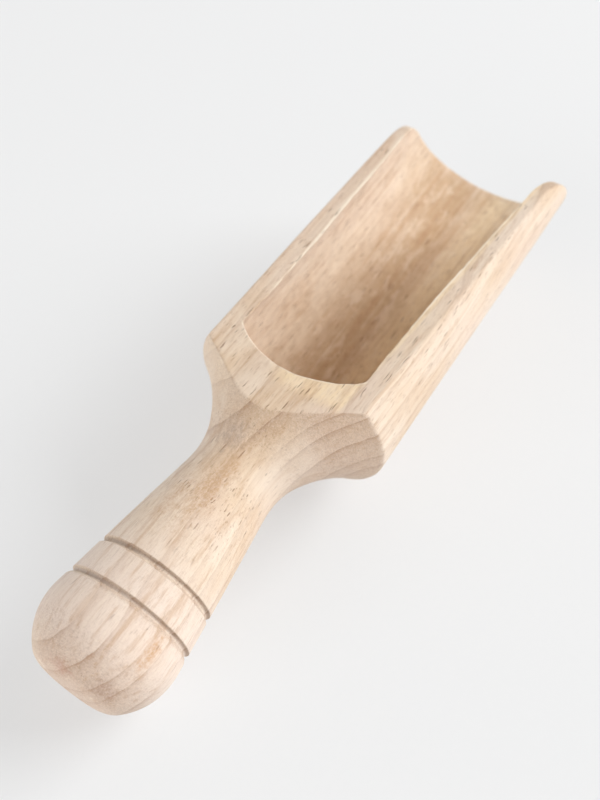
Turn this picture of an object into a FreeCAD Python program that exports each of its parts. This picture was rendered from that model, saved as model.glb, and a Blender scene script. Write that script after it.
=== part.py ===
import FreeCAD, Part
import math
import os
import Sketcher

# One-piece turned hand scoop. The turning axis is the X axis. The origin is the
# centre of the flat end of the knob, +X runs towards the pouring lip and +Z
# comes out of the open side of the bowl. Everything is in millimetres.
# Profiles are drawn on the XZ plane, so a sketch's y is the scoop's z.

V = FreeCAD.Vector

# Driving dimensions: alias, value, note
DIMENSIONS = [
    # turned handle
    ("crown_x", 10.29, "station of the fattest part of the knob"),
    ("crown_radius", 12.69, "radius of the knob at its fattest part"),
    ("crown_arc", 12.05, "radius of the arc that domes the knob"),
    ("taper_arc", 22.0, "hollow curve from the straight taper into the neck"),
    ("neck_x", 44.41, "station of the thinnest part of the neck"),
    ("neck_radius", 8.47, "radius of the neck"),
    ("neck_arc", 15.0, "curve that turns the neck into the flare"),
    ("flare_arc", 28.35, "hollow curve of the flare up to the shoulder"),
    ("end_rounding", 1.1, "rounding of the knob's end edge"),
    # turned head
    ("shoulder_x", 62.27, "station of the shoulder edge"),
    ("shoulder_radius", 20.05, "radius of the head at the shoulder"),
    ("head_lip_radius", 18.45, "radius of the head at the end of the blank"),
    ("shoulder_rounding", 0.5, "rounding of the shoulder edge"),
    ("blank_length", 146.0, "length of the turned blank before the lip is cut"),
    # sawn and sanded opening
    ("rim_height", 11.14, "height of the planed rim above the axis at the shoulder"),
    ("rim_slope", 4.43, "fall of the rim towards the lip, degrees"),
    ("lip_corner_x", 133.77, "station where rim line and lip line would meet"),
    ("lip_slant", 20.2, "lean of the lip face from square, degrees"),
    ("lip_rounding", 13.0, "rounding of the rim into the lip, seen from the side"),
    ("cut_above", 32.0, "top of the opening cut above the axis"),
    ("cut_below", 26.0, "bottom of the opening cut below the axis"),
    ("cut_overrun", 8.0, "reach of the opening cut past the blank"),
    # bored bowl
    ("dome_centre_x", 82.84, "centre of the domed back end of the bowl"),
    ("dome_radius", 22.5, "radius of the domed back end of the bowl"),
    ("waist_x", 103.1, "station where the bore is narrowest"),
    ("waist_radius", 15.95, "radius of the bore where it is narrowest"),
    ("bore_arc", 680.0, "slight barrel curve along the bore"),
    ("bore_overrun", 1.0, "reach of the bore past the blank"),
    # decorative V grooves
    ("groove_a_x", 14.82, "station of the groove next to the knob"),
    ("groove_b_x", 21.81, "station of the second groove"),
    ("groove_a_radius", 11.50, "radius at the bottom of the first groove"),
    ("groove_b_radius", 10.58, "radius at the bottom of the second groove"),
    ("groove_half", 0.65, "half width of each groove at the surface"),
    # broken edges
    ("rim_break", 0.35, "sanded rounding of the rim edges"),
]

# Limits that show a step worked, mm3
MIN_BLANK_VOLUME = 1000
MIN_CUT_VOLUME = 10000
RIM_BREAK_VOLUME = (5, 60)

# Sketcher's numbers for the points of a piece, and its built-in geometry
START, END, CENTRE = 1, 2, 3
X_AXIS = -1
ORIGIN = (-1, 1)

doc = FreeCAD.newDocument("feed_scoop")
sheet = doc.addObject("Spreadsheet::Sheet", "dims")
for row, (alias, value, note) in enumerate(DIMENSIONS, start=1):
    sheet.set("A%d" % row, alias)
    sheet.set("B%d" % row, repr(float(value)))
    sheet.set("C%d" % row, note)
    sheet.setAlias("B%d" % row, alias)
doc.recompute()
DIM = {alias: float(sheet.get(alias)) for alias, _, _ in DIMENSIONS}

body = doc.addObject("PartDesign::Body", "scoop")
body.Label = "scoop"
xz_plane = next(f for f in body.Origin.OriginFeatures if f.Role == "XZ_Plane")


class Profile:
    """A sketch on the body's XZ plane with constraints bound to the sheet."""

    def __init__(self, name):
        self.sketch = body.newObject("Sketcher::SketchObject", name)
        self.sketch.AttachmentSupport = [(xz_plane, "")]
        self.sketch.MapMode = "FlatFace"
        doc.recompute()
        self.formulas = []

    def line(self, start, end):
        return self.sketch.addGeometry(Part.LineSegment(start, end), False)

    def path(self, points):
        return [self.line(start, end) for start, end in zip(points, points[1:])]

    def arc(self, centre, radius, start, end):
        """Anticlockwise arc between the directions of two points."""
        angles = [math.atan2(p.y - centre.y, p.x - centre.x) % (2 * math.pi)
                  for p in (start, end)]
        circle = Part.Circle(centre, V(0, 0, 1), radius)
        return self.sketch.addGeometry(Part.ArcOfCircle(circle, *angles), False)

    def tie(self, kind, *elements):
        return self.sketch.addConstraint(Sketcher.Constraint(kind, *elements))

    def join(self, *pieces):
        """Join the end of each piece to the start of the next."""
        for piece, following in zip(pieces, pieces[1:]):
            self.tie("Coincident", piece, END, following, START)

    def size(self, kind, elements, formula, value=None):
        """Dimension bound to a formula; with no value, the formula is an alias."""
        if value is None:
            value = DIM[formula]
            formula = "dims." + formula
        self.formulas.append((self.tie(kind, *elements, value), formula))

    def place_x(self, piece, point, formula, value=None):
        self.size("DistanceX", (*ORIGIN, piece, point), formula, value)

    def place_y(self, piece, point, formula, value=None):
        self.size("DistanceY", (*ORIGIN, piece, point), formula, value)

    def finish(self):
        for index, formula in self.formulas:
            self.sketch.setExpression("Constraints[%d]" % index, formula)
        doc.recompute()
        if self.sketch.solve() != 0:
            raise RuntimeError("sketch %s does not solve" % self.sketch.Name)
        return self.sketch


def turn(kind, name, sketch):
    """Full revolution or groove of a sketch about the turning axis."""
    feature = body.newObject(kind, name)
    feature.Profile = sketch
    feature.ReferenceAxis = (sketch, ["H_Axis"])
    feature.Angle = 360.0
    doc.recompute()
    return feature


def round_edges(name, base, edges, radius):
    fillet = body.newObject("PartDesign::Fillet", name)
    fillet.Base = (base, edges)
    fillet.setExpression("Radius", "dims." + radius)
    doc.recompute()
    return fillet


def require_cut(feature, base, least, most=math.inf):
    removed = base.Shape.Volume - feature.Shape.Volume
    if not least < removed < most:
        raise RuntimeError("%s removed %.1f mm3" % (feature.Name, removed))


# ---------------------------------------------------------------------------
# 1. Turned blank: knob, two V grooves, taper, neck, flare and head
# ---------------------------------------------------------------------------


def taper_ends(crown_centre, hollow_centre):
    """Ends of the straight taper that touches the knob arc and the hollow curve."""
    between = hollow_centre - crown_centre
    lean = (math.atan2(between.y, between.x)
            + math.acos((DIM["crown_arc"] + DIM["taper_arc"]) / between.Length))
    normal = V(math.cos(lean), math.sin(lean), 0)
    return (crown_centre + normal * DIM["crown_arc"],
            hollow_centre - normal * DIM["taper_arc"])


def flare_start(neck_centre, shoulder):
    """Start and centre of the arc from the neck arc, tangent, to the shoulder."""
    low, high = 0.05, 1.2
    for _ in range(60):
        angle = 0.5 * (low + high)
        direction = V(math.sin(angle), -math.cos(angle), 0)
        start = neck_centre + direction * DIM["neck_arc"]
        centre = start - direction * DIM["flare_arc"]
        if (shoulder - centre).Length > DIM["flare_arc"]:
            high = angle
        else:
            low = angle
    return start, centre


def groove_points(key, taper_start, taper_end):
    """Near edge, bottom and far edge of a V groove in the taper."""
    station = DIM["groove_%s_x" % key]

    def on_taper(x):
        rise = (taper_end.y - taper_start.y) / (taper_end.x - taper_start.x)
        return V(x, taper_start.y + (x - taper_start.x) * rise, 0)

    return [on_taper(station - DIM["groove_half"]),
            V(station, DIM["groove_%s_radius" % key], 0),
            on_taper(station + DIM["groove_half"])]


def turned_profile():
    crown_y = DIM["crown_radius"] - DIM["crown_arc"]
    crown_centre = V(DIM["crown_x"], crown_y, 0)
    neck = V(DIM["neck_x"], DIM["neck_radius"], 0)
    hollow_centre = neck + V(0, DIM["taper_arc"], 0)
    neck_centre = neck + V(0, DIM["neck_arc"], 0)
    shoulder = V(DIM["shoulder_x"], DIM["shoulder_radius"], 0)
    knob_edge = V(0, crown_y + math.sqrt(DIM["crown_arc"] ** 2 - DIM["crown_x"] ** 2), 0)
    taper_start, taper_end = taper_ends(crown_centre, hollow_centre)
    flare_foot, flare_centre = flare_start(neck_centre, shoulder)

    taper_points = [taper_start,
                    *groove_points("a", taper_start, taper_end),
                    *groove_points("b", taper_start, taper_end),
                    taper_end]
    surface = [taper_points[i].x for i in (0, 1, 3, 4, 6, 7)]
    if any(x >= following for x, following in zip(surface, surface[1:])):
        raise RuntimeError("the grooves have left the straight taper they are cut in")

    profile = Profile("turned_profile")
    knob_end = profile.line(V(0, 0, 0), knob_edge)
    crown = profile.arc(crown_centre, DIM["crown_arc"], taper_start, knob_edge)
    taper_pieces = profile.path(taper_points)
    taper, a_in, a_out, band, b_in, b_out, last_taper = taper_pieces
    hollow = profile.arc(hollow_centre, DIM["taper_arc"], taper_end, neck)
    neck_curve = profile.arc(neck_centre, DIM["neck_arc"], neck, flare_foot)
    flare = profile.arc(flare_centre, DIM["flare_arc"], flare_foot, shoulder)
    head, front, axis = profile.path([
        shoulder,
        V(DIM["blank_length"], DIM["head_lip_radius"], 0),
        V(DIM["blank_length"], 0, 0),
        V(0, 0, 0),
    ])

    profile.tie("Coincident", knob_end, START, *ORIGIN)
    profile.tie("Vertical", knob_end)
    profile.tie("Coincident", knob_end, END, crown, END)
    profile.tie("Tangent", crown, START, taper, START)
    profile.join(*taper_pieces)
    profile.tie("Tangent", taper, band)
    profile.tie("Tangent", taper, last_taper)
    profile.tie("Tangent", last_taper, END, hollow, START)
    profile.tie("Tangent", hollow, END, neck_curve, START)
    profile.tie("Tangent", neck_curve, END, flare, START)
    profile.join(flare, head, front, axis, knob_end)
    profile.tie("Vertical", front)
    profile.tie("Horizontal", axis)

    profile.place_x(crown, CENTRE, "crown_x")
    profile.place_y(crown, CENTRE, "dims.crown_radius - dims.crown_arc", crown_y)
    profile.size("Radius", (crown,), "crown_arc")
    profile.size("Radius", (hollow,), "taper_arc")
    profile.place_x(hollow, END, "neck_x")
    profile.place_y(hollow, END, "neck_radius")
    profile.tie("Vertical", hollow, CENTRE, hollow, END)
    profile.size("Radius", (neck_curve,), "neck_arc")
    profile.size("Radius", (flare,), "flare_arc")
    profile.place_x(flare, END, "shoulder_x")
    profile.place_y(flare, END, "shoulder_radius")
    profile.place_x(head, END, "blank_length")
    profile.place_y(head, END, "head_lip_radius")
    for key, inward, outward in (("a", a_in, a_out), ("b", b_in, b_out)):
        profile.place_x(inward, END, "groove_%s_x" % key)
        profile.place_y(inward, END, "groove_%s_radius" % key)
        for side in (inward, outward):
            profile.size("DistanceX", (side, START, side, END), "groove_half")
    return profile.finish()


def circle_edges(shape, station, tolerance=0.02):
    """Names of the full circular edges that lie in the plane at a station."""
    names = []
    for i, edge in enumerate(shape.Edges, start=1):
        box = edge.BoundBox
        flat = abs(box.XMin - station) < tolerance and abs(box.XMax - station) < tolerance
        if flat and box.YLength > 1:
            names.append("Edge%d" % i)
    return names


def make_blank():
    blank = turn("PartDesign::Revolution", "turned_blank", turned_profile())
    if blank.Shape.isNull() or blank.Shape.Volume < MIN_BLANK_VOLUME:
        raise RuntimeError("the turned blank is empty")
    soft_end = round_edges("end_softened", blank,
                           circle_edges(blank.Shape, 0.0), "end_rounding")
    return round_edges("shoulder_softened", soft_end,
                       circle_edges(soft_end.Shape, DIM["shoulder_x"]), "shoulder_rounding")


# ---------------------------------------------------------------------------
# 2. Bowl bored from the lip: domed back end, long slightly waisted bore
# ---------------------------------------------------------------------------


def bowl_profile():
    dome_centre = V(DIM["dome_centre_x"], 0, 0)
    dome_radius = DIM["dome_radius"]
    bore_centre = V(DIM["waist_x"], DIM["waist_radius"] + DIM["bore_arc"], 0)

    def on_bore(x):
        drop = math.sqrt(DIM["bore_arc"] ** 2 - (x - bore_centre.x) ** 2)
        return V(x, bore_centre.y - drop, 0)

    # settle on the point where the dome meets the bore, from a rough first station
    junction = on_bore(dome_centre.x - 14.0)
    for _ in range(40):
        junction = on_bore(dome_centre.x - math.sqrt(dome_radius ** 2 - junction.y ** 2))
    mouth_edge = on_bore(DIM["blank_length"] + DIM["bore_overrun"])
    dome_tip = dome_centre - V(dome_radius, 0, 0)

    profile = Profile("bowl_profile")
    dome = profile.arc(dome_centre, dome_radius, junction, dome_tip)
    bore = profile.arc(bore_centre, DIM["bore_arc"], junction, mouth_edge)
    mouth, core = profile.path([mouth_edge, V(mouth_edge.x, 0, 0), dome_tip])

    profile.tie("Coincident", dome, START, bore, START)
    profile.join(bore, mouth, core)
    profile.tie("Vertical", mouth)
    profile.tie("Coincident", core, END, dome, END)
    for piece, point in ((core, START), (core, END), (dome, CENTRE)):
        profile.tie("PointOnObject", piece, point, X_AXIS)
    profile.place_x(dome, CENTRE, "dome_centre_x")
    profile.size("Radius", (dome,), "dome_radius")
    profile.size("Radius", (bore,), "bore_arc")
    profile.place_x(bore, CENTRE, "waist_x")
    profile.place_y(bore, CENTRE, "dims.waist_radius + dims.bore_arc", bore_centre.y)
    profile.place_x(core, START, "dims.blank_length + dims.bore_overrun", mouth_edge.x)
    return profile.finish()


def bore_bowl(blank):
    bowl = turn("PartDesign::Groove", "bored_bowl", bowl_profile())
    require_cut(bowl, blank, MIN_CUT_VOLUME)
    return bowl


# ---------------------------------------------------------------------------
# 3. Open side sawn off: sloping planed rim, rounded into the slanted lip
# ---------------------------------------------------------------------------


def opening_profile():
    slope = math.radians(DIM["rim_slope"])
    slant = math.radians(DIM["lip_slant"])
    radius = DIM["lip_rounding"]
    top, bottom = DIM["cut_above"], -DIM["cut_below"]
    far_x = DIM["blank_length"] + DIM["cut_overrun"]

    def on_rim(x):
        return V(x, DIM["rim_height"] + math.tan(slope) * (DIM["shoulder_x"] - x), 0)

    rim_back = on_rim(DIM["neck_x"])
    corner = on_rim(DIM["lip_corner_x"])
    lip_foot = V(corner.x + math.tan(slant) * (corner.y - bottom), bottom, 0)

    # rounding that touches both lines leaving the corner
    along_rim = V(-math.cos(slope), math.sin(slope), 0)
    along_lip = V(math.sin(slant), -math.cos(slant), 0)
    half_angle = 0.5 * along_rim.getAngle(along_lip)
    setback = radius / math.tan(half_angle)
    rim_front = corner + along_rim * setback
    lip_top = corner + along_lip * setback
    bisector = (along_rim + along_lip).normalize()
    round_centre = corner + bisector * (radius / math.sin(half_angle))

    profile = Profile("opening_profile")
    rim = profile.line(rim_back, rim_front)
    rounding = profile.arc(round_centre, radius, lip_top, rim_front)
    lip, below, beyond, above, behind = profile.path([
        lip_top,
        lip_foot,
        V(far_x, bottom, 0),
        V(far_x, top, 0),
        V(rim_back.x, top, 0),
        rim_back,
    ])
    corner_point = profile.sketch.addGeometry(Part.Point(corner), True)

    profile.tie("Tangent", rim, END, rounding, END)
    profile.tie("Tangent", rounding, START, lip, START)
    profile.tie("PointOnObject", corner_point, START, rim)
    profile.tie("PointOnObject", corner_point, START, lip)
    profile.join(lip, below, beyond, above, behind, rim)
    profile.tie("Horizontal", below)
    profile.tie("Vertical", beyond)
    profile.tie("Horizontal", above)
    profile.tie("Vertical", behind)

    back_height = ("dims.rim_height + tan(dims.rim_slope * 1 deg)"
                   " * (dims.shoulder_x - dims.neck_x)")
    corner_height = ("dims.rim_height - tan(dims.rim_slope * 1 deg)"
                     " * (dims.lip_corner_x - dims.shoulder_x)")
    foot_station = ("dims.lip_corner_x + tan(dims.lip_slant * 1 deg) * ("
                    + corner_height + " + dims.cut_below)")
    profile.size("Radius", (rounding,), "lip_rounding")
    profile.place_x(rim, START, "neck_x")
    profile.place_y(rim, START, back_height, rim_back.y)
    profile.place_x(lip, END, foot_station, lip_foot.x)
    profile.size("DistanceY", (below, END, *ORIGIN), "cut_below")
    profile.place_x(beyond, END, "dims.blank_length + dims.cut_overrun", far_x)
    profile.place_y(beyond, END, "cut_above")
    profile.place_x(corner_point, START, "lip_corner_x")
    profile.place_y(corner_point, START, corner_height, corner.y)
    return profile.finish()


def saw_opening(bowl):
    opening = body.newObject("PartDesign::Pocket", "sawn_opening")
    opening.Profile = opening_profile()
    opening.Type = "ThroughAll"
    # the two-sided setting has a different name in older FreeCAD versions
    if hasattr(opening, "SideType"):
        opening.SideType = "Symmetric"
    else:
        opening.Midplane = True
    doc.recompute()
    require_cut(opening, bowl, MIN_CUT_VOLUME)
    return opening


# ---------------------------------------------------------------------------
# 4. Sanded rim: every edge of the planed flat and of the rounded lip is broken
# ---------------------------------------------------------------------------


def is_sawn(face):
    """True for the planed rim, the rounded corner and the slanted lip."""
    surface = face.Surface
    if surface.TypeId == "Part::GeomPlane":
        return abs(face.normalAt(0, 0).y) < 1e-6 and face.CenterOfMass.x > DIM["neck_x"]
    return (surface.TypeId == "Part::GeomCylinder"
            and abs(surface.Radius - DIM["lip_rounding"]) < 1e-3)


def rim_edges(shape):
    """Names of the edges where sawn faces meet the turned and bored surfaces."""
    sawn = [face for face in shape.Faces if is_sawn(face)]
    names = []
    for i, edge in enumerate(shape.Edges, start=1):
        touching = [face for face in sawn if any(edge.isSame(own) for own in face.Edges)]
        if len(touching) == 1:
            names.append("Edge%d" % i)
    return names


def soften_rim(opening):
    rim = round_edges("rim_softened", opening, rim_edges(opening.Shape), "rim_break")
    require_cut(rim, opening, *RIM_BREAK_VOLUME)
    return rim


body.Tip = soften_rim(saw_opening(bore_bowl(make_blank())))
doc.recompute()

failed = [o.Name for o in doc.Objects if "Invalid" in o.State or "Error" in o.State]
if failed:
    raise RuntimeError("failed objects: " + ", ".join(failed))
if body.Shape.isNull() or not body.Shape.isValid() or len(body.Shape.Solids) != 1:
    raise RuntimeError("scoop is not one valid solid")
os.makedirs("parts", exist_ok=True)
body.Shape.exportStep("parts/%s.step" % body.Label)
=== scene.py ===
# A turned wooden scoop: grooved knob, tapering handle, neck, flare and a bored bowl.
# X is the turning axis with the knob end at 0; +Z comes out of the open side of the bowl.
# Shapes are worked out in millimetres and turned into metres as the mesh is made.
import math
import bpy
import bmesh
import numpy as np
from mathutils import Matrix, Vector


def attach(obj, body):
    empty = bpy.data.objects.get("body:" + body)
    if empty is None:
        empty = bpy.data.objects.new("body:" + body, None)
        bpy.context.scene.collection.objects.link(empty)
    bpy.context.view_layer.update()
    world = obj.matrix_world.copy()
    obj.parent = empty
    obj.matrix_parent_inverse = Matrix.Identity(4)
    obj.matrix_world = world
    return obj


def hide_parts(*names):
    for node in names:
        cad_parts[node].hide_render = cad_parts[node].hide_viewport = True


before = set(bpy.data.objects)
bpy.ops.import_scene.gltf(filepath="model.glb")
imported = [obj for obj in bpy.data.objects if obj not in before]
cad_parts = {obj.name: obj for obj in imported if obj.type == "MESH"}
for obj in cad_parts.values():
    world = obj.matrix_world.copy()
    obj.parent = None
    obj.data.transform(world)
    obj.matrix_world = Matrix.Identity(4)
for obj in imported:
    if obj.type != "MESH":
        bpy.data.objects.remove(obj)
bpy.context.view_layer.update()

MM = 0.001

# ---------------------------------------------------------------------------
# Driving sizes. A pair is (x, radius) on the turned profile.
# ---------------------------------------------------------------------------
KNOB_X, KNOB_R = 10.29, 12.69          # widest place of the knob
CROWN_R = 12.05                        # profile arc over the knob
NECK_X, NECK_R = 44.41, 8.47           # thinnest place of the handle
HOLLOW_R = 22.0                        # arc on the knob side of the neck
NECK_ARC_R = 15.0                      # arc on the bowl side of the neck
FLARE_R = 28.35
SHOULDER_X, SHOULDER_R = 62.27, 20.05
TIP_X, TIP_R = 146.0, 18.45
GROOVES = ((14.82, 11.50), (21.81, 10.58))     # x, radius at the groove floor
GROOVE_HALF_WIDTH = 0.68

DOME_X, DOME_R = 82.84, 22.5           # sphere that ends the bore
BORE_X, BORE_R = 103.1, 15.95          # narrowest place of the bore
BORE_ARC_R = 680.0                     # long arc of the bore wall
RIM_Z = 11.14                          # height of the rim plane at the shoulder
RIM_SLOPE = math.radians(4.43)
LIP_SLANT = math.radians(20.2)         # lip, measured from straight across
CORNER_X = 133.77                      # where rim and lip planes would cross
BEND_R = 13.0                          # rounds that corner

# Slow unevenness of each surface: height, random seed, wave length
OUTER_WAVES = ((0.035, 3, 26.0), (0.012, 4, 6.0))
BORE_WAVES = ((0.06, 8, 14.0), (0.045, 9, 4.5), (0.035, 10, 2.4))
CUT_WAVES = ((0.03, 12, 18.0),)

# ---------------------------------------------------------------------------
# Turned profile
# ---------------------------------------------------------------------------
CROWN = (KNOB_X, KNOB_R - CROWN_R)     # arc centres
HOLLOW = (NECK_X, NECK_R + HOLLOW_R)
NECK = (NECK_X, NECK_R + NECK_ARC_R)

# the straight taper touches both the crown and the hollow arc
dx, dr = HOLLOW[0] - CROWN[0], HOLLOW[1] - CROWN[1]
lean = math.atan2(dr, dx) + math.acos((CROWN_R + HOLLOW_R) / math.hypot(dx, dr))
TAPER_START = (CROWN[0] + CROWN_R * math.cos(lean), CROWN[1] + CROWN_R * math.sin(lean))
TAPER_END = (HOLLOW[0] - HOLLOW_R * math.cos(lean), HOLLOW[1] - HOLLOW_R * math.sin(lean))
TAPER_SLOPE = (TAPER_END[1] - TAPER_START[1]) / (TAPER_END[0] - TAPER_START[0])
HEAD_SLOPE = (TIP_R - SHOULDER_R) / (TIP_X - SHOULDER_X)
END_R = CROWN[1] + math.sqrt(CROWN_R ** 2 - CROWN[0] ** 2)


def fit_flare():
    """Joint x and centre of the flare arc that runs from the neck arc to the shoulder."""
    low, high = 0.05, 1.2
    for _ in range(60):
        angle = 0.5 * (low + high)
        sine, cosine = math.sin(angle), math.cos(angle)
        joint = (NECK[0] + NECK_ARC_R * sine, NECK[1] - NECK_ARC_R * cosine)
        centre = (joint[0] - FLARE_R * sine, joint[1] + FLARE_R * cosine)
        if math.hypot(SHOULDER_X - centre[0], SHOULDER_R - centre[1]) > FLARE_R:
            high = angle
        else:
            low = angle
    return joint[0], centre


FLARE_X, FLARE = fit_flare()


def arc(x, centre, radius, sign):
    """Height of a circle's upper (sign 1) or lower (sign -1) half at x."""
    return centre[1] + sign * np.sqrt(np.maximum(radius ** 2 - (x - centre[0]) ** 2, 0))


def taper(x):
    return TAPER_START[1] + (x - TAPER_START[0]) * TAPER_SLOPE


def r_side(x):
    """Radius of knob, taper, neck and flare, without the grooves."""
    x = np.asarray(x, float)
    neck = np.where(x < FLARE_X, arc(x, NECK, NECK_ARC_R, -1), arc(x, FLARE, FLARE_R, -1))
    handle = np.where(x < NECK_X, arc(x, HOLLOW, HOLLOW_R, -1), neck)
    handle = np.where(x < TAPER_END[0], taper(x), handle)
    return np.where(x < TAPER_START[0], arc(x, CROWN, CROWN_R, 1), handle)


def groove_cut(x):
    """Depth of the two turned grooves: a narrow channel with a round bottom."""
    x = np.asarray(x, float)
    depth = np.zeros_like(x)
    for centre, floor_r in GROOVES:
        offset = np.abs(x - centre) / GROOVE_HALF_WIDTH
        full = taper(centre) - floor_r
        depth = depth + 0.82 * full * np.maximum(1 - offset ** 2.6, 0) ** 1.25
    return depth


def r_head(x):
    return SHOULDER_R + (np.asarray(x, float) - SHOULDER_X) * HEAD_SLOPE


def r_bore(x):
    return arc(np.asarray(x, float), (BORE_X, BORE_R + BORE_ARC_R), BORE_ARC_R, -1)


# ---------------------------------------------------------------------------
# Saw cut that opens the bowl, in the XZ plane: sloping rim, bend, slanted lip
# ---------------------------------------------------------------------------
CORNER = np.array([CORNER_X, RIM_Z - math.tan(RIM_SLOPE) * (CORNER_X - SHOULDER_X)])
RIM_DIR = np.array([-math.cos(RIM_SLOPE), math.sin(RIM_SLOPE)])      # towards the knob
LIP_DIR = np.array([math.sin(LIP_SLANT), -math.cos(LIP_SLANT)])      # down to the tip
RIM_NORMAL = np.array([math.sin(RIM_SLOPE), math.cos(RIM_SLOPE)])
LIP_NORMAL = np.array([math.cos(LIP_SLANT), math.sin(LIP_SLANT)])
half_corner = 0.5 * math.acos(float(RIM_DIR @ LIP_DIR))
run = BEND_R / math.tan(half_corner)
reach = BEND_R / math.sin(half_corner)
bisector = (RIM_DIR + LIP_DIR) / np.linalg.norm(RIM_DIR + LIP_DIR)
BEND_START_X = (CORNER + RIM_DIR * run)[0]
BEND_END_X = (CORNER + LIP_DIR * run)[0]
BEND = CORNER + bisector * BEND_R / math.sin(half_corner)
BEND_MID_X = float(CORNER_X + bisector[0] * (reach - BEND_R))


def z_cut(x):
    x = np.asarray(x, float)
    rim = RIM_Z - np.tan(RIM_SLOPE) * (x - SHOULDER_X)
    lip = CORNER[1] - (x - CORNER_X) / math.tan(LIP_SLANT)
    bend = arc(x, BEND, BEND_R, 1)
    return np.where(x < BEND_START_X, rim, np.where(x < BEND_END_X, bend, lip))


def root(fn, low, high):
    """Where fn changes sign between low and high."""
    positive = fn(low) > 0
    for _ in range(50):
        middle = 0.5 * (low + high)
        if (fn(middle) > 0) == positive:
            low = middle
        else:
            high = middle
    return 0.5 * (low + high)


# ---------------------------------------------------------------------------
# Finished surface as a signed distance, with edges rounded by sanding
# ---------------------------------------------------------------------------
def waves(points, seed, length, count=7):
    """Smooth deterministic unevenness, about -1 to 1."""
    rng = np.random.default_rng(seed)
    total = np.zeros(len(points))
    for _ in range(count):
        direction = rng.normal(size=3)
        direction /= np.linalg.norm(direction)
        frequency = 2 * math.pi / (length * rng.uniform(0.6, 1.7))
        total += np.sin(points @ direction * frequency + rng.uniform(0, 6.28))
    return total / math.sqrt(count)


def uneven(distance, points, layers):
    for height, seed, length in layers:
        distance = distance + height * waves(points, seed, length)
    return distance


def rounded_max(a, b, radius):
    u, v = np.maximum(a + radius, 0), np.maximum(b + radius, 0)
    return np.minimum(np.maximum(a, b), -radius) + np.sqrt(u * u + v * v)


def outer_distance(points, x, r):
    h = 0.01
    slope = (r_side(x + h) - r_side(x - h)) / (2 * h)
    slope = np.where(x < 0.02, 1.6, slope)     # steep start of the crown
    side = (r - (r_side(np.maximum(x, 0)) - groove_cut(x))) / np.sqrt(1 + slope ** 2)
    flare = FLARE_R - np.sqrt((x - FLARE[0]) ** 2 + (r - FLARE[1]) ** 2)
    side = np.where(x > FLARE_X, flare, side)
    side = rounded_max(side, -x, radius=1.3)
    shoulder = rounded_max(side, r - r_head(x), radius=0.55)
    return uneven(np.where(x > FLARE_X, shoulder, side), points, OUTER_WAVES)


def void_distance(points, x, r):
    ball = DOME_R - np.sqrt((x - DOME_X) ** 2 + r * r)
    ball = np.where(x > DOME_X, 50.0, ball)    # only the knob-side half of the sphere counts
    bore = r_bore(x) - r
    return uneven(-rounded_max(-ball, -bore, radius=0.4), points, BORE_WAVES)


def cut_distance(points, x, z):
    qx, qz = x - BEND[0], z - BEND[1]
    in_bend = ((qx * RIM_DIR[0] + qz * RIM_DIR[1] < 0)
               & (qx * LIP_DIR[0] + qz * LIP_DIR[1] < 0))
    rim, lip = ((x - CORNER_X) * normal[0] + (z - CORNER[1]) * normal[1]
                for normal in (RIM_NORMAL, LIP_NORMAL))
    cut = np.where(in_bend, np.sqrt(qx * qx + qz * qz) - BEND_R, np.maximum(rim, lip))
    return uneven(cut, points, CUT_WAVES)


def wood_distance(points):
    x, y, z = points[:, 0], points[:, 1], points[:, 2]
    r = np.sqrt(y * y + z * z)
    cut = cut_distance(points, x, z)
    inner = rounded_max(void_distance(points, x, r), cut, radius=0.32)
    outer = rounded_max(outer_distance(points, x, r), cut,
                        radius=np.where(x < SHOULDER_X + 1.0, 0.24, 0.42))
    return np.maximum(inner, outer)


def settle(points, rounds=5):
    """Move points down the gradient onto the finished surface."""
    points = points.copy()
    h = 0.02
    for _ in range(rounds):
        distance = wood_distance(points)
        gradient = np.stack([(wood_distance(points + d) - wood_distance(points - d)) / (2 * h)
                             for d in (np.eye(3) * h)], -1)
        steepness = np.maximum((gradient * gradient).sum(-1), 0.2)
        points -= np.clip(distance / steepness, -0.6, 0.6)[:, None] * gradient
    return points


# ---------------------------------------------------------------------------
# Rows and columns of the mesh
# ---------------------------------------------------------------------------
def spread(count, length, both_ends):
    """0..1 with a few close rows at the start, or at both ends, then even rows."""
    tight = [t / length for t in (0.0, 0.11, 0.24, 0.40, 0.60, 0.86)]
    finish = [1 - t for t in reversed(tight)] if both_ends else [1.0]
    steps = count - len(tight) - len(finish) + 2
    even = list(np.linspace(tight[-1], finish[0], steps + 1))
    return np.array(tight[:-1] + even + finish[1:])


# Columns run from 1 (+Y rim edge) through 0 (underside) to -1 (-Y rim edge)
half_columns = 1 - spread(92, 43.0, both_ends=False)
COLUMNS = np.concatenate([half_columns, -half_columns[::-1][1:]])
NC = len(COLUMNS)
MIDDLE = NC // 2
BOWL_STEPS = spread(124, 76.0, both_ends=True)
FULL = math.pi / 2                     # rim angle of a closed section
OPEN_X = root(lambda x: float(z_cut(x) - r_side(x)), 50.0, 61.0)   # where the cut starts


def column_angle(column, rim):
    return -math.pi / 2 + (math.pi / 2 + rim) * column


def rim_angle(x, radius):
    """Angle above the horizontal where the section meets the saw cut."""
    return math.asin(max(-1.0, min(1.0, float(z_cut(x)) / float(radius(x)))))


def section(x, r, rim):
    angle = column_angle(COLUMNS, rim)
    return np.stack([np.broadcast_to(x, NC), r * np.cos(angle), r * np.sin(angle)], -1)


def saw_line(radius):
    """x where each column of the last row meets the saw cut."""
    rim = rim_angle(BEND_MID_X, radius)
    line = []
    for column in COLUMNS:
        sine = math.sin(column_angle(column, rim))
        line.append(root(lambda x: float(z_cut(x)) - float(radius(x)) * sine,
                         BEND_MID_X - 0.5, TIP_X) if abs(column) < 1 else BEND_MID_X)
    return np.array(line)


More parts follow.
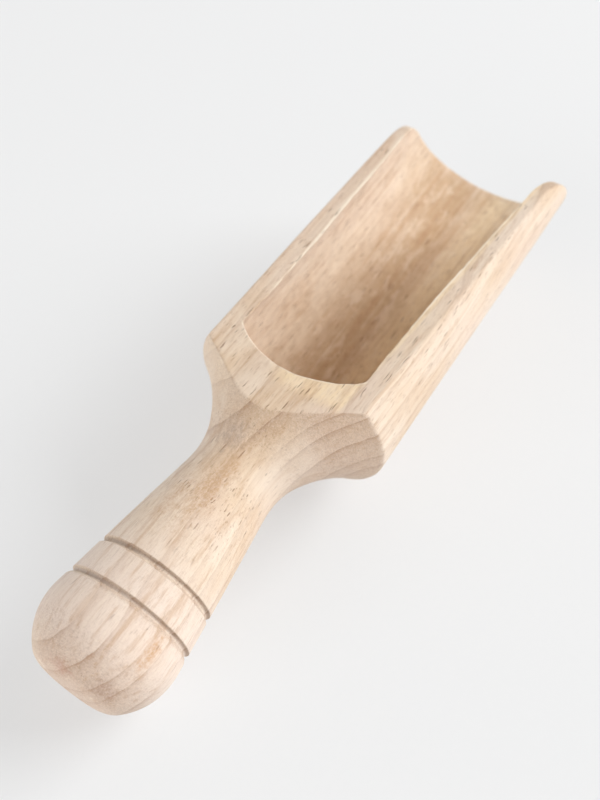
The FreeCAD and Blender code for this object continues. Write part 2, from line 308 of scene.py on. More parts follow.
def bowl_rows(radius, start, steps):
    """Open rows from a straight start to the saw line at the lip."""
    end = saw_line(radius)
    rows = []
    for t in steps:
        x = start + (end - start) * t
        edge_x = start + (BEND_MID_X - start) * t
        rows.append(section(x, radius(x), rim_angle(edge_x, radius)))
    return rows


def lengths_along(points):
    steps = np.linalg.norm(np.diff(points[:, MIDDLE], axis=0), axis=-1)
    along = np.concatenate([[0.0], np.cumsum(steps)])
    return np.repeat(along[:, None], NC, 1)


def lengths_across(points):
    across = np.zeros(points.shape[:2])
    across[:, 1:] = np.cumsum(np.linalg.norm(np.diff(points, axis=1), axis=-1), axis=1)
    return across - across[:, MIDDLE][:, None]


# --- outside: knob end, knob, grooves, neck, flare, head ---
END_RADII = ([0.0] + list(np.linspace(0.8, END_R - 1.6, 7))
             + [END_R - inset for inset in (1.3, 1.0, 0.75, 0.5, 0.28, 0.1)])
flare_steps = np.linspace(0, 1, 35) ** 1.55
flare_steps = np.concatenate([flare_steps[:-4],
                              [1 - 0.055, 1 - 0.034, 1 - 0.018, 1 - 0.006, 1.0]])
FLARE_XS = OPEN_X + (SHOULDER_X - OPEN_X) * flare_steps


def closed_stations():
    """x of the rows from the knob end to the start of the cut, close in the grooves."""
    stations = [0.0, 0.12, 0.3, 0.5, 0.75, 1.05, 1.4]
    x = 1.8
    while x < OPEN_X - 0.75:
        stations.append(x)
        x += 0.12 if any(g - 1.0 < x < g + 1.0 for g, _ in GROOVES) else 0.5
    return stations + [OPEN_X - d for d in (0.6, 0.4, 0.24, 0.11)]


closed_rows = [section(0.0, r, FULL) for r in END_RADII]
closed_rows += [section(x, r_side(x) - groove_cut(x), FULL) for x in closed_stations()]
flare_rows = [section(x, r_side(x), FULL if x <= OPEN_X + 1e-9 else rim_angle(x, r_side))
              for x in FLARE_XS]
FIRST_OPEN = len(closed_rows)
OUTSIDE = np.stack(closed_rows + flare_rows
                   + bowl_rows(r_head, SHOULDER_X, BOWL_STEPS[1:]))


def outside_uv():
    across = lengths_across(OUTSIDE)
    # keep the rows of the flat end as wide as its edge
    flat = slice(1, len(END_RADII))
    across[flat] *= (END_R / np.hypot(OUTSIDE[flat, 0, 1], OUTSIDE[flat, 0, 2]))[:, None]
    across[0] = across[1]
    return np.stack([lengths_along(OUTSIDE), across], -1)


# --- inside: bore and domed back end ---
BACK_X = DOME_X - 14.0                 # where dome and bore meet, found by iteration
for _ in range(40):
    BACK_X = DOME_X - math.sqrt(DOME_R ** 2 - float(r_bore(BACK_X)) ** 2)
BORE = np.stack(bowl_rows(r_bore, BACK_X, BOWL_STEPS))


def dome_rim_point(y):
    x = 63.5
    for _ in range(60):
        x = DOME_X - math.sqrt(DOME_R ** 2 - y * y - float(z_cut(x)) ** 2)
    return [x, y, float(z_cut(x))]


# +Y half of the dome's edge in the rim, from the middle out to the bore
back_y = math.sqrt(float(r_bore(BACK_X)) ** 2 - float(z_cut(BACK_X)) ** 2)
last = len(FLARE_XS) - 1
HALF_RIM = np.array([dome_rim_point(back_y * k / last) for k in range(last + 1)])
HALF_RIM[-1] = BORE[0, 0]


def dome_points():
    edge = np.concatenate([HALF_RIM[:-1], BORE[0], (HALF_RIM[:-1] * [1, -1, 1])[::-1]])
    pole = np.array([0.0, -2.5])       # y, z
    fractions = ([0.0] + list(np.linspace(0.06, 0.92, 20))
                 + [0.945, 0.962, 0.975, 0.985, 0.993, 1.0])
    rows = []
    for fraction in fractions:
        yz = pole + (edge[:, 1:] - pole) * fraction
        x = DOME_X - np.sqrt(DOME_R ** 2 - (yz ** 2).sum(-1))
        rows.append(np.concatenate([x[:, None], yz], 1))
    rows[-1] = edge
    return np.stack(rows)


# --- sawn rim and lip: one strip each side, between outside and bore ---
ACROSS_RIM = np.array([0, 0.025, 0.06, 0.105, 0.17, 0.27, 0.38, 0.5,
                       0.62, 0.73, 0.83, 0.895, 0.94, 0.975, 1.0])
cut_x = np.linspace(50, 146, 4000)
cut_length = np.concatenate([[0], np.cumsum(np.hypot(np.diff(cut_x), np.diff(z_cut(cut_x))))])


def rim_patch(columns, y_sign, flip):
    outer = np.concatenate([OUTSIDE[FIRST_OPEN:, columns[0]], OUTSIDE[-1, columns[1:]]])
    inner = np.concatenate([HALF_RIM[:-1] * [1, y_sign, 1], BORE[:, columns[0]],
                            BORE[-1, columns[1:]]])
    share = ACROSS_RIM[None, :, None]
    points = outer[:, None, :] * (1 - share) + inner[:, None, :] * share
    points[..., 2] = z_cut(points[..., 0])
    points[:, 0], points[:, -1] = outer, inner
    uv = np.stack([np.interp(points[..., 0], cut_x, cut_length), points[..., 1]], -1)
    return points, uv, (72.0, 114.0), flip


# Patches: points[rows, columns, 3], uv in mm, uv shift in mm, whether faces are reversed
dome = dome_points()
bore_uv = np.stack([lengths_across(BORE), lengths_along(BORE)], -1)
PATCHES = [
    (OUTSIDE, outside_uv(), (0.0, 46.0), False),
    (BORE, bore_uv, (37.0, 94.0), True),
    (dome, dome[..., 1:].copy(), (92.0, 152.0), False),
    rim_patch(list(range(MIDDLE + 1)), 1, True),
    rim_patch(list(range(NC - 1, MIDDLE - 1, -1)), -1, False),
]


# ---------------------------------------------------------------------------
# Mesh
# ---------------------------------------------------------------------------
UV_SQUARE, UV_MARGIN = 176.0, 2.0      # mm covered by the whole UV square


def add_object(name, data):
    ob = bpy.data.objects.new(name, data)
    bpy.context.scene.collection.objects.link(ob)
    return ob


def quads(grid):
    """Four corners of every cell of a grid, in order round the cell."""
    return np.stack([grid[:-1, :-1], grid[:-1, 1:], grid[1:, 1:], grid[1:, :-1]], 2)


def patch_mesh():
    verts, faces, uvs = [], [], []
    base = 0
    for points, uv, shift, flip in PATCHES:
        rows, columns = points.shape[:2]
        index = base + np.arange(rows * columns).reshape(rows, columns)
        face = quads(index).reshape(-1, 4)
        corner = quads((uv + np.array(shift) + UV_MARGIN) / UV_SQUARE).reshape(-1, 4, 2)
        if flip:
            face, corner = face[:, ::-1], corner[:, ::-1]
        verts.append(points.reshape(-1, 3))
        faces.append(face)
        uvs.append(corner)
        base += rows * columns
    mesh = bpy.data.meshes.new("scoop_wood")
    mesh.from_pydata(np.concatenate(verts).tolist(), [], np.concatenate(faces).tolist())
    layer = mesh.uv_layers.new(name="OFBake")
    layer.data.foreach_set("uv", np.concatenate(uvs).reshape(-1).astype(np.float32))
    return mesh


def cap_holes(bm):
    """Close any hole left at the two poles, with a small round UV for each cap."""
    layer = bm.loops.layers.uv["OFBake"]
    edges = [e for e in bm.edges if e.is_boundary]
    caps = bmesh.ops.holes_fill(bm, edges=edges, sides=0)["faces"] if edges else []
    for face in caps:
        centre = Vector((0.985, 0.985 if face.calc_center_median().x < 5 else 0.96))
        for k, loop in enumerate(face.loops):
            angle = 2 * math.pi * k / len(face.loops)
            loop[layer].uv = centre + Vector((math.cos(angle), math.sin(angle))) * 0.006
    bmesh.ops.triangulate(bm, faces=caps)


def scoop_mesh():
    mesh = patch_mesh()
    bm = bmesh.new()
    bm.from_mesh(mesh)
    bmesh.ops.remove_doubles(bm, verts=bm.verts, dist=0.004)
    bmesh.ops.dissolve_degenerate(bm, edges=bm.edges, dist=0.001)
    cap_holes(bm)
    bmesh.ops.recalc_face_normals(bm, faces=bm.faces)
    settled = settle(np.array([v.co[:] for v in bm.verts]))
    for vert, place in zip(bm.verts, settled):
        vert.co = Vector(place) * MM
    for face in bm.faces:
        face.smooth = True
    bm.to_mesh(mesh)
    bm.free()
    return mesh


scoop = add_object("scoop_wood", scoop_mesh())
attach(scoop, "root")
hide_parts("scoop")


# ---------------------------------------------------------------------------
# Shader helpers
# ---------------------------------------------------------------------------
def srgb(*channels):
    """sRGB 0..1 to a linear colour."""
    return tuple(c / 12.92 if c <= 0.04045 else ((c + 0.055) / 1.055) ** 2.4
                 for c in channels) + (1.0,)


class Nodes:
    """Short calls for building one material. tint() paints over self.colour."""

    def __init__(self, name):
        self.material = bpy.data.materials.new(name)
        self.material.use_nodes = True
        self.tree = self.material.node_tree
        self.tree.nodes.clear()

    def new(self, kind, **settings):
        node = self.tree.nodes.new(kind)
        for key, value in settings.items():
            setattr(node, key, value)
        return node

    def put(self, socket, value):
        if hasattr(value, "is_output"):
            self.tree.links.new(value, socket)
        else:
            socket.default_value = value

    def fill(self, node, values):
        for key, value in values.items():
            self.put(node.inputs[key], value)
        return node

    def math(self, operation, *values):
        node = self.new("ShaderNodeMath", operation=operation)
        return self.fill(node, dict(enumerate(values))).outputs[0]

    def add(self, a, b):
        return self.math("ADD", a, b)

    def sub(self, a, b):
        return self.math("SUBTRACT", a, b)

    def mul(self, a, b):
        return self.math("MULTIPLY", a, b)

    def mul_add(self, a, b, c):
        return self.math("MULTIPLY_ADD", a, b, c)

    def centred(self, noise):
        return self.sub(noise, 0.5)

    def length(self, *parts):
        total = self.mul(parts[0], parts[0])
        for part in parts[1:]:
            total = self.add(total, self.mul(part, part))
        return self.math("SQRT", total)

    def separate(self, kind, value):
        return self.fill(self.new(kind), {0: value}).outputs

    def stretch(self, axes, per_mm, shift=None):
        """Vector of axes times per_mm; shift moves the first one."""
        parts = [self.mul(axis, scale) if shift is None or k else
                 self.mul_add(axis, scale, shift)
                 for k, (axis, scale) in enumerate(zip(axes, per_mm))]
        return self.fill(self.new("ShaderNodeCombineXYZ"), dict(enumerate(parts))).outputs[0]

    def noise(self, vector, scale, detail, rough):
        return self.fill(self.new("ShaderNodeTexNoise"), {
            "Vector": vector, "Scale": scale, "Detail": detail,
            "Roughness": rough}).outputs["Fac"]

    def field(self, axes, per_mm, detail, rough, shift=None):
        """Noise stretched along three axes."""
        return self.noise(self.stretch(axes, per_mm, shift), 1.0, detail, rough)

    def step(self, value, start, stop, low=0.0, high=1.0):
        """Smooth change from low to high as value goes from start to stop."""
        node = self.new("ShaderNodeMapRange", interpolation_type="SMOOTHSTEP")
        return self.fill(node, {"Value": value, "From Min": start, "From Max": stop,
                                "To Min": low, "To Max": high}).outputs["Result"]

    def near(self, value, centre, start, stop):
        return self.step(self.math("ABSOLUTE", self.sub(value, centre)), start, stop)

    def mix(self, factor, a, b):
        node = self.new("ShaderNodeMix", data_type="RGBA", blend_type="MIX", clamp_factor=True)
        return self.fill(node, {"Factor": factor, "A": a, "B": b}).outputs["Result"]

    def tint(self, mask, colour, amount=None):
        factor = mask if amount is None else self.mul(mask, amount)
        self.colour = self.mix(factor, self.colour, srgb(*colour))

    def finish(self, values):
        surface = self.fill(self.new("ShaderNodeBsdfPrincipled"), values)
        self.put(self.new("ShaderNodeOutputMaterial").inputs[0], surface.outputs[0])
        return self.material


# ---------------------------------------------------------------------------
# Wood
# ---------------------------------------------------------------------------
PITH_Y, PITH_Z = -32.0, -25.0          # heart of the tree, outside the stick
# Outer radius of each growth ring about the pith
RINGS = [8.0, 13.5, 18.0, 22.0, 25.4, 28.6, 33.9, 38.3, 40.9, 45.4, 49.5, 54.0, 58.5, 65.0]
# Shade through one ring: place, darkness
RING_SHADE = ((0.0, 0.0), (0.45, 0.06), (0.80, 0.30), (0.93, 0.62), (0.975, 1.0), (1.0, 0.25))
RIM_FALL = 0.07747                     # rim slope used for painting the rim
# Stains: centre; radius along X and across; amount; colour
STAINS = (
    ((10.6, -10.4, 7.1), (4.4, 1.8), 0.70, (0.790, 0.600, 0.420)),
    ((2.2, -7.4, 5.8), (2.2, 3.0), 0.60, (0.640, 0.500, 0.420)),
    ((1.2, -0.2, 8.4), (1.6, 3.2), 0.50, (0.720, 0.530, 0.460)),
    ((38.6, -1.7, 8.9), (12.5, 2.5), 0.62, (0.740, 0.570, 0.410)),
    ((41.0, 1.5, 9.0), (16.0, 6.0), 0.40, (0.800, 0.660, 0.510)),
    ((33.5, 2.4, 9.6), (7.5, 1.5), 0.45, (0.760, 0.590, 0.430)),
    ((48.5, 1.2, 8.6), (4.5, 3.6), 0.42, (0.660, 0.570, 0.540)),
)


def set_axes(wood):
    """Place in mm, and grain axes: along the stick, round the pith, out from the pith."""
    millimetres = wood.new("ShaderNodeVectorMath", operation="SCALE")
    place = wood.new("ShaderNodeTexCoord").outputs["Object"]
    wood.fill(millimetres, {0: place, "Scale": 1000.0})
    wood.x, wood.y, wood.z = wood.separate("ShaderNodeSeparateXYZ", millimetres.outputs[0])
    wood.place = (wood.x, wood.y, wood.z)
    geometry = wood.new("ShaderNodeNewGeometry").outputs
    wood.pointiness = geometry["Pointiness"]
    normal = wood.separate("ShaderNodeSeparateXYZ", geometry["Normal"])
    wood.facing = wood.math("ABSOLUTE", normal[0])     # 1 where the surface faces along X

    # slow wander of the grain along the stick
    drift_y = wood.field(wood.place, per_mm=(0.016, 0.03, 0.03), detail=1.0, rough=0.4)
    drift_z = wood.field(wood.place, per_mm=(0.02, 0.04, 0.04), detail=1.0, rough=0.4,
                         shift=31.0)
    wander = 5.0
    off_y, off_z = (wood.add(axis, wood.mul_add(wood.centred(drift), wander, -pith))
                    for axis, drift, pith in ((wood.y, drift_y, PITH_Y),
                                              (wood.z, drift_z, PITH_Z)))
    wood.out = wood.length(off_y, off_z)
    mm_per_radian = 40.0
    wood.turn = wood.mul(wood.math("ARCTAN2", off_z, off_y), mm_per_radian)
    wood.grain = (wood.x, wood.turn, wood.out)


def ring_number(wood, radius):
    """A curve turns radius into ring number."""
    node = wood.new("ShaderNodeFloatCurve")
    curve = node.mapping.curves[0]
    curve.points[0].location = (0.0, 0.0)
    curve.points[-1].location = (1.0, 1.0)
    for k, ring in enumerate(RINGS[:-1], start=1):
        curve.points.new(ring / RINGS[-1], k / len(RINGS))
    for point in curve.points:
        point.handle_type = "VECTOR"
    node.mapping.update()
    wood.put(node.inputs["Value"], wood.math("DIVIDE", radius, RINGS[-1]))
    return wood.mul(node.outputs[0], float(len(RINGS)))


def set_rings(wood):
    wood.wiggle = wood.field(wood.grain, per_mm=(0.05, 0.22, 0.1), detail=3.0, rough=0.55)
    wiggle_mm = 1.1
    number = ring_number(wood, wood.mul_add(wood.centred(wood.wiggle), wiggle_mm, wood.out))
    through = wood.math("FRACT", number)
    ring = wood.math("FLOOR", number)
    ramp = wood.new("ShaderNodeValToRGB")
    stops = ramp.color_ramp.elements
    while len(stops) > 1:
        stops.remove(stops[-1])
    stops[0].position, stops[0].color = RING_SHADE[0][0], (RING_SHADE[0][1], 0, 0, 1)
    for position, shade in RING_SHADE[1:]:
        stops.new(position).color = (shade, 0, 0, 1)
    wood.put(ramp.inputs[0], through)
    late = wood.separate("ShaderNodeSeparateColor", ramp.outputs[0])[0]
    strength = wood.field((ring, wood.x, wood.turn), per_mm=(7.3, 0.03, 0.05),
                          detail=1.0, rough=0.5)
    wood.late = wood.mul(late, wood.step(strength, start=0.3, stop=0.62, low=0.45))


def set_fibres(wood):
    wood.fibre = wood.field(wood.grain, per_mm=(0.10, 2.6, 2.6), detail=4.0, rough=0.62)
    wood.fine = wood.field(wood.grain, per_mm=(0.35, 6.0, 6.0), detail=2.0, rough=0.6)
    wood.streak = wood.field(wood.grain, per_mm=(0.028, 0.95, 0.95), detail=3.0, rough=0.6)
    wood.cloud = wood.field(wood.grain, per_mm=(0.045, 0.12, 0.12), detail=3.0, rough=0.55)


def flecks(wood, size, core, edge, keep, shift):
    """Spindles one to a cell: cell size in mm, fade from core to edge, share left out."""
    axes = (wood.x, wood.ragged_turn, wood.out)
    cells = wood.fill(
        wood.new("ShaderNodeTexVoronoi", feature="F1", distance="EUCLIDEAN"),
        {"Vector": wood.stretch(axes, [1.0 / s for s in size], shift),
         "Scale": 1.0, "Randomness": 1.0}).outputs
    pick = wood.separate("ShaderNodeSeparateColor", cells["Color"])[0]
    spindle = wood.step(cells["Distance"], core, edge, low=1.0, high=0.0)
    return wood.mul(spindle, wood.step(pick, keep, min(1.0, keep + 0.25)))


def set_flecks(wood):
    """Medullary rays and pores."""
    jitter = wood.field(wood.grain, per_mm=(0.25, 0.4, 0.25), detail=2.0, rough=0.5)
    jitter_mm = 0.9
    wood.ragged_turn = wood.mul_add(wood.centred(jitter), jitter_mm, wood.turn)
    big = flecks(wood, size=(5.0, 0.31, 0.50), core=0.14, edge=0.34, keep=0.64, shift=3.7)
    small = flecks(wood, size=(2.8, 0.18, 0.35), core=0.12, edge=0.38, keep=0.36, shift=11.3)
    wood.pore = flecks(wood, size=(2.4, 0.13, 0.13), core=0.10, edge=0.36, keep=0.40,
                       shift=23.1)
    wood.end_grain = wood.step(wood.facing, start=0.22, stop=0.85)
    long_face = wood.sub(1.0, wood.step(wood.facing, start=0.30, stop=0.75))
    knob = wood.step(wood.x, start=33.0, stop=26.0)
    thinning = -0.72                   # fewer short rays on the knob
    long_face = wood.mul(long_face, wood.mul_add(knob, thinning, 1.0))
    long_ray = flecks(wood, size=(9.5, 0.42, 0.9), core=0.10, edge=0.24, keep=0.66,
                      shift=41.7)
    wood.long_ray = wood.mul(long_ray, knob)
    wood.big = wood.mul(big, long_face)
    wood.small = wood.mul(small, long_face)


def paint_ground(wood):
    """Broad colour of the outside and of the bowl, with a painted highlight on the knob and
    painted light and shade inside the bowl.
    """
    wood.colour = srgb(0.918, 0.842, 0.762)
    wood.tint(wood.step(wood.cloud, start=0.32, stop=0.68), colour=(0.870, 0.758, 0.640))
    blush = wood.field(wood.place, per_mm=(0.03, 0.06, 0.06), detail=2.0, rough=0.5, shift=9.0)
    wood.tint(wood.step(blush, start=0.40, stop=0.66), colour=(0.905, 0.805, 0.730),
              amount=0.55)
    # Painted highlight: the knob is painted paler and pinker, for the washed-out look of its
    # brightly lit wood.
    wood.tint(wood.step(wood.x, start=30.0, stop=16.0, high=0.75),
              colour=(0.925, 0.850, 0.798))
    inside = wood.mul(wood.step(wood.length(wood.y, wood.z), start=17.4, stop=16.7),
                      wood.step(wood.x, start=59.0, stop=62.0))
    # Painted shade: the bowl is painted darker and browner towards its bottom, where it lies
    # in shade.
    painted_bowl_shade = wood.mul(wood.step(wood.z, start=-3.0, stop=-11.5),
                    wood.step(wood.y, start=6.0, stop=0.0, low=1.0, high=0.45))
    # Painted light: the +Y inner wall, which faces the window, is painted paler.
    painted_wall_light = wood.mul(inside, wood.mul(wood.step(wood.y, start=6.0, stop=14.0),
                                     wood.step(wood.x, start=132.0, stop=118.0, low=0.3)))
    wood.tint(wood.mul(inside, painted_bowl_shade), colour=(0.750, 0.612, 0.462), amount=0.92)
    wood.tint(painted_wall_light, colour=(0.945, 0.870, 0.790), amount=0.42)
    # Painted light: the -Y side of the bowl is painted lighter and warmer, lifting the shade
    # under its wall.
    wood.tint(wood.mul(inside, wood.step(wood.y, start=4.0, stop=-1.5)),
              colour=(0.970, 0.868, 0.710), amount=0.70)
    wood.inside = inside


def paint_grain(wood):
    """Rings, fibres, rays and pores."""
    step, tint = wood.step, wood.tint
    across = step(wood.facing, start=0.10, stop=0.55, low=0.26, high=0.85)
    tint(wood.mul(wood.late, across), colour=(0.63, 0.45, 0.33))
    # mask, start, stop, low, high; amount; colour
    for mask, limits, amount, colour in (
            (wood.fibre, (0.50, 0.78, 0.0, 1.0), 0.30, (0.72, 0.54, 0.39)),
            (wood.fine, (0.52, 0.8, 0.0, 1.0), 0.16, (0.66, 0.48, 0.34)),
            (wood.fine, (0.2, 0.45, 1.0, 0.0), 0.20, (0.96, 0.88, 0.79)),
            (wood.streak, (0.50, 0.70, 0.0, 1.0), 0.46, (0.755, 0.590, 0.435)),
            (wood.streak, (0.30, 0.46, 1.0, 0.0), 0.30, (0.950, 0.880, 0.800))):
        tint(step(mask, *limits), colour, amount)
    tint(wood.small, colour=(0.640, 0.460, 0.320), amount=0.42)
    tint(wood.big, colour=(0.540, 0.370, 0.245), amount=0.70)
    tint(wood.pore, colour=(0.55, 0.38, 0.26), amount=0.20)
    tint(wood.long_ray, colour=(0.575, 0.430, 0.360), amount=0.50)


def paint_end_grain(wood):
    """Greyer and darker where the cut runs across, paler on the +Y side."""
    tint, end_grain = wood.tint, wood.end_grain
    tint(end_grain, colour=(0.728, 0.605, 0.490), amount=0.50)
    tint(wood.mul(end_grain, wood.step(wood.y, start=3.0, stop=8.5)),
         colour=(0.935, 0.860, 0.765), amount=0.55)
    wood.speck = wood.field(wood.place, per_mm=(1.2, 4.5, 4.5), detail=4.0, rough=0.75)
    tint(wood.mul(wood.step(wood.speck, start=0.48, stop=0.62), end_grain),
         colour=(0.50, 0.39, 0.38), amount=0.30)


def paint_texture(wood):
    """Sanding fuzz in fine crossed ticks, then mottling of the bored wall."""
    step, tint = wood.step, wood.tint
    along = wood.field(wood.grain, per_mm=(1.0, 6.5, 6.5), detail=4.0, rough=0.8)
    across = wood.field(wood.place, per_mm=(7.0, 1.5, 1.5), detail=4.0, rough=0.8)
    fuzz = wood.add(wood.mul(along, 0.5), wood.mul(across, 0.5))
    fuzzy = step(wood.facing, start=0.04, stop=0.40, low=0.35)
    tint(wood.mul(step(fuzz, start=0.50, stop=0.60), fuzzy),
         colour=(0.600, 0.470, 0.380), amount=0.27)
    tint(wood.mul(step(fuzz, start=0.50, stop=0.40), fuzzy),
         colour=(0.970, 0.910, 0.840), amount=0.24)
    wood.fuzz, wood.fuzzy = fuzz, fuzzy
    mottle = wood.field(wood.grain, per_mm=(0.17, 0.50, 0.42), detail=3.0, rough=0.6)
    tint(wood.mul(step(mottle, start=0.52, stop=0.68), wood.inside),
         colour=(0.715, 0.555, 0.400), amount=0.30)
    tint(wood.mul(step(mottle, start=0.48, stop=0.34), wood.inside),
         colour=(0.940, 0.860, 0.770), amount=0.34)


def paint_marks(wood):
    """Painted highlight: a pale patch where neck runs into flare on the -Y side, the window
    side, where the light washes the wood out; then the stains.
    """
    # offsets from the patch centre (48.5, -9, 4), each over the patch's half size
    patch = wood.length(wood.math("DIVIDE", wood.sub(wood.x, 48.5), 9.5),
                        wood.math("DIVIDE", wood.add(wood.y, 9.0), 6.0),
                        wood.math("DIVIDE", wood.sub(wood.z, 4.0), 6.5))
    edge_wiggle, edge_blot = 0.5, 2.2  # raggedness of the patch and of the stains
    patch = wood.mul_add(wood.centred(wood.wiggle), edge_wiggle, patch)
    # Painted highlight: the patch is painted paler.
    wood.tint(wood.step(patch, start=1.15, stop=0.35), colour=(0.965, 0.905, 0.845),
              amount=0.38)
    blot = wood.field(wood.place, per_mm=(0.75, 1.3, 1.3), detail=3.0, rough=0.6)
    fine_blot = wood.field(wood.place, per_mm=(2.2, 3.0, 3.0), detail=2.0, rough=0.6)
    for centre, (along, across), amount, colour in STAINS:
        reach = wood.length(*(wood.math("DIVIDE", wood.sub(axis, middle), size)
                              for axis, middle, size
                              in zip(wood.place, centre, (along, across, across))))
        ragged = wood.add(reach, wood.mul(wood.centred(blot), edge_blot))
        stain = wood.mul(wood.step(ragged, start=1.05, stop=0.15),
                         wood.step(fine_blot, start=0.36, stop=0.60, low=0.35))
        wood.tint(stain, colour, amount)


def paint_edges(wood):
    """Painted highlight along the inner edge of the rim, dark flecks in it, painted highlight
    on convex edges, painted shade in hollows.
    """
    step, tint = wood.step, wood.tint
    # Painted highlight: a bright line where the inner edge of the rim and of the domed back
    # catches the light.
    rim_z = wood.mul_add(wood.x, -RIM_FALL, RIM_Z + RIM_FALL * SHOULDER_X)
    level = wood.near(wood.z, rim_z, start=0.50, stop=0.10)
    radius = wood.length(wood.y, wood.z)
    wall = wood.near(radius, centre=16.15, start=0.55, stop=0.15)
    ball = wood.length(wood.sub(wood.x, DOME_X), radius)
    back = wood.mul(wood.near(ball, DOME_R, start=0.45, stop=0.15),
                    step(wood.x, start=68.5, stop=67.5))
    wall = wood.mul(wall, step(wood.x, start=66.5, stop=67.5))
    tint(wood.mul(level, wood.math("MAXIMUM", wall, back)),
         colour=(0.985, 0.930, 0.850), amount=0.62)
    tint(wood.mul(wood.big, level), colour=(0.480, 0.315, 0.190), amount=0.50)
    # Painted highlight: convex edges, which catch the light, are painted paler; the same mask
    # makes them smoother in wood_roughness.
    wood.sharp = step(wood.pointiness, start=0.515, stop=0.60)
    tint(wood.sharp, colour=(0.935, 0.860, 0.765), amount=0.45)
    # Painted shade: hollows such as the grooves and inner corners are painted darker.
    tint(step(wood.pointiness, start=0.485, stop=0.40), colour=(0.70, 0.58, 0.46),
         amount=0.12)


def wood_roughness(wood):
    """0.60, rougher on fibres and rays, smoother on burnished edges."""
    rough = wood.add(0.60, wood.mul(wood.fibre, 0.14))
    rough = wood.add(rough, wood.mul(wood.big, 0.08))
    return wood.sub(rough, wood.mul(wood.sharp, 0.10))


def wood_bump(wood):
    """Raised fibres, specks and fuzz; sunken rays and pores. Factors are heights."""
    height = wood.add(wood.mul(wood.fibre, 0.5), wood.mul(wood.fine, 0.35))
    for mask, depth in ((wood.big, 0.35), (wood.small, 0.18), (wood.pore, 0.22)):
        height = wood.sub(height, wood.mul(mask, depth))
    for mask, area, rise in ((wood.speck, wood.end_grain, 0.4), (wood.fuzz, wood.fuzzy, 1.6)):
        height = wood.add(height, wood.mul(wood.mul(mask, area), rise))
    return wood.fill(wood.new("ShaderNodeBump"), {
        "Strength": 0.75, "Distance": 0.00016, "Height": height}).outputs[0]


def wood_material():
    wood = Nodes("beech")
    for stage in (set_axes, set_rings, set_fibres, set_flecks, paint_ground, paint_grain,
                  paint_end_grain, paint_texture, paint_marks, paint_edges):
        stage(wood)
    return wood.finish({
        "Base Color": wood.colour, "Roughness": wood_roughness(wood),
        "Specular IOR Level": 0.35, "Sheen Weight": 0.22, "Sheen Roughness": 0.55,
        "Normal": wood_bump(wood)})


scoop.data.materials.append(wood_material())


# ---------------------------------------------------------------------------
# Table: the scoop rests on its knob and on the edge of its shoulder
# ---------------------------------------------------------------------------
TABLE_HALF = 15.0                      # metres
TABLE_GAP = 0.06                       # mm below the knob


def paper_material():
    paper = Nodes("table_paper")
    place = paper.new("ShaderNodeTexCoord").outputs["Object"]
    speckle = paper.noise(place, scale=900.0, detail=3.0, rough=0.6)
    return paper.finish({
        "Base Color": paper.mix(speckle, (0.320, 0.320, 0.324, 1), (0.335, 0.334, 0.335, 1)),
        "Roughness": 0.85, "Specular IOR Level": 0.2,
        "Emission Color": (1.0, 1.0, 1.0, 1.0), "Emission Strength": 0.525})


def table_mesh():
    fall = math.atan2(SHOULDER_R - KNOB_R, SHOULDER_X - KNOB_X)
    along = Vector((math.cos(fall), 0, -math.sin(fall)))
    up = Vector((math.sin(fall), 0, math.cos(fall)))
    centre = (Vector((KNOB_X, 0, 0)) - up * (KNOB_R + TABLE_GAP)) * MM
    bm = bmesh.new()
    for sx, sy in ((-1, -1), (1, -1), (1, 1), (-1, 1)):
        bm.verts.new(centre + along * sx * TABLE_HALF + Vector((0, 1, 0)) * sy * TABLE_HALF)
    bm.faces.new(bm.verts)
    mesh = bpy.data.meshes.new("table_top")
    bm.to_mesh(mesh)
    bm.free()
    return mesh


table = add_object("table_top", table_mesh())
table.data.materials.append(paper_material())

# ---------------------------------------------------------------------------
# Camera
# ---------------------------------------------------------------------------
CAMERA_PLACE = Vector((-15.55570, -74.64947, 162.36540)) * MM
YAW, PITCH, ROLL = 0.7464306, 0.9794038, -0.1756995    # radians; pitch is downwards
SENSOR, LENS = 36.0, 47.79231277                       # mm
F_STOP = 20.0
FOCUS_PLACE = (0.030, 0.0, 0.009)                      # metres

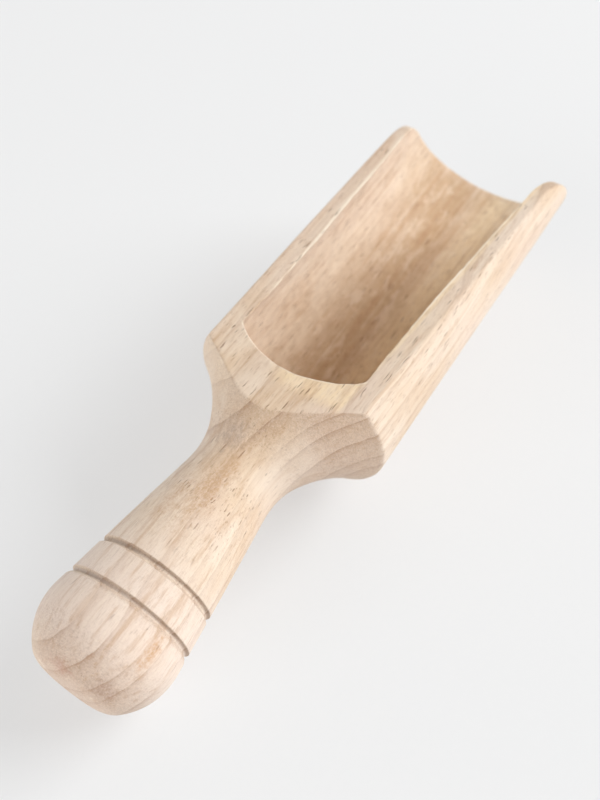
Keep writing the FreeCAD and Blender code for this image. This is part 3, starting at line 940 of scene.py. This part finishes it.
camera_data = bpy.data.cameras.new("cam")
camera = add_object("cam", camera_data)
ahead = Vector((math.cos(PITCH) * math.cos(YAW), math.cos(PITCH) * math.sin(YAW),
                -math.sin(PITCH)))
level_right = ahead.cross(Vector((0, 0, 1))).normalized()
level_up = level_right.cross(ahead)
right = level_right * math.cos(ROLL) + level_up * math.sin(ROLL)
upward = -level_right * math.sin(ROLL) + level_up * math.cos(ROLL)
turned = Matrix((right, upward, -ahead)).transposed()
camera.matrix_world = Matrix.Translation(CAMERA_PLACE) @ turned.to_4x4()
camera_data.sensor_width = SENSOR
camera_data.lens = LENS
camera_data.clip_start, camera_data.clip_end = 0.005, 60.0
focus = add_object("focus_spot", None)
focus.location = FOCUS_PLACE
camera_data.dof.use_dof = True
camera_data.dof.focus_object = focus
camera_data.dof.aperture_fstop = F_STOP
bpy.context.scene.camera = camera

# ---------------------------------------------------------------------------
# Light: big soft window on the +X -Y side, pale room all round
# ---------------------------------------------------------------------------
HORIZON_STRENGTH, ZENITH_STRENGTH = 0.77, 0.19
ROOM_COLOUR = (1.0, 0.985, 0.955, 1.0)
LIGHT_TARGET = Vector((0.07, 0, 0))

world = bpy.data.worlds.new("room")
bpy.context.scene.world = world
world.use_nodes = True
tree = world.node_tree
background = tree.nodes["Background"]
direction = tree.nodes.new("ShaderNodeTexCoord")
split = tree.nodes.new("ShaderNodeSeparateXYZ")
fade = tree.nodes.new("ShaderNodeMapRange")
for key, value in (("From Min", 0.0), ("From Max", 1.0),
                   ("To Min", HORIZON_STRENGTH), ("To Max", ZENITH_STRENGTH)):
    fade.inputs[key].default_value = value
tree.links.new(direction.outputs["Generated"], split.inputs[0])
tree.links.new(split.outputs[2], fade.inputs[0])
tree.links.new(fade.outputs[0], background.inputs[1])
background.inputs[0].default_value = ROOM_COLOUR


def panel(name, place, width, height, power, colour):
    data = bpy.data.lights.new(name, "AREA")
    data.shape = "RECTANGLE"
    data.size, data.size_y = width, height
    data.energy = power
    data.color = colour
    light = add_object(name, data)
    light.location = Vector(place)
    light.rotation_mode = "QUATERNION"
    light.rotation_quaternion = (LIGHT_TARGET - Vector(place)).to_track_quat("-Z", "Y")


panel("window", place=(1.32, -0.96, 0.72), width=1.25, height=0.95, power=34.8,
      colour=(0.955, 0.985, 1.0))
panel("room", place=(-1.25, 0.18, 0.50), width=1.2, height=0.8, power=15.0,
      colour=(0.97, 0.985, 1.0))

view = bpy.context.scene.view_settings
view.view_transform = "Standard"
view.look = "None"
view.exposure = 0.0
view.gamma = 1.0
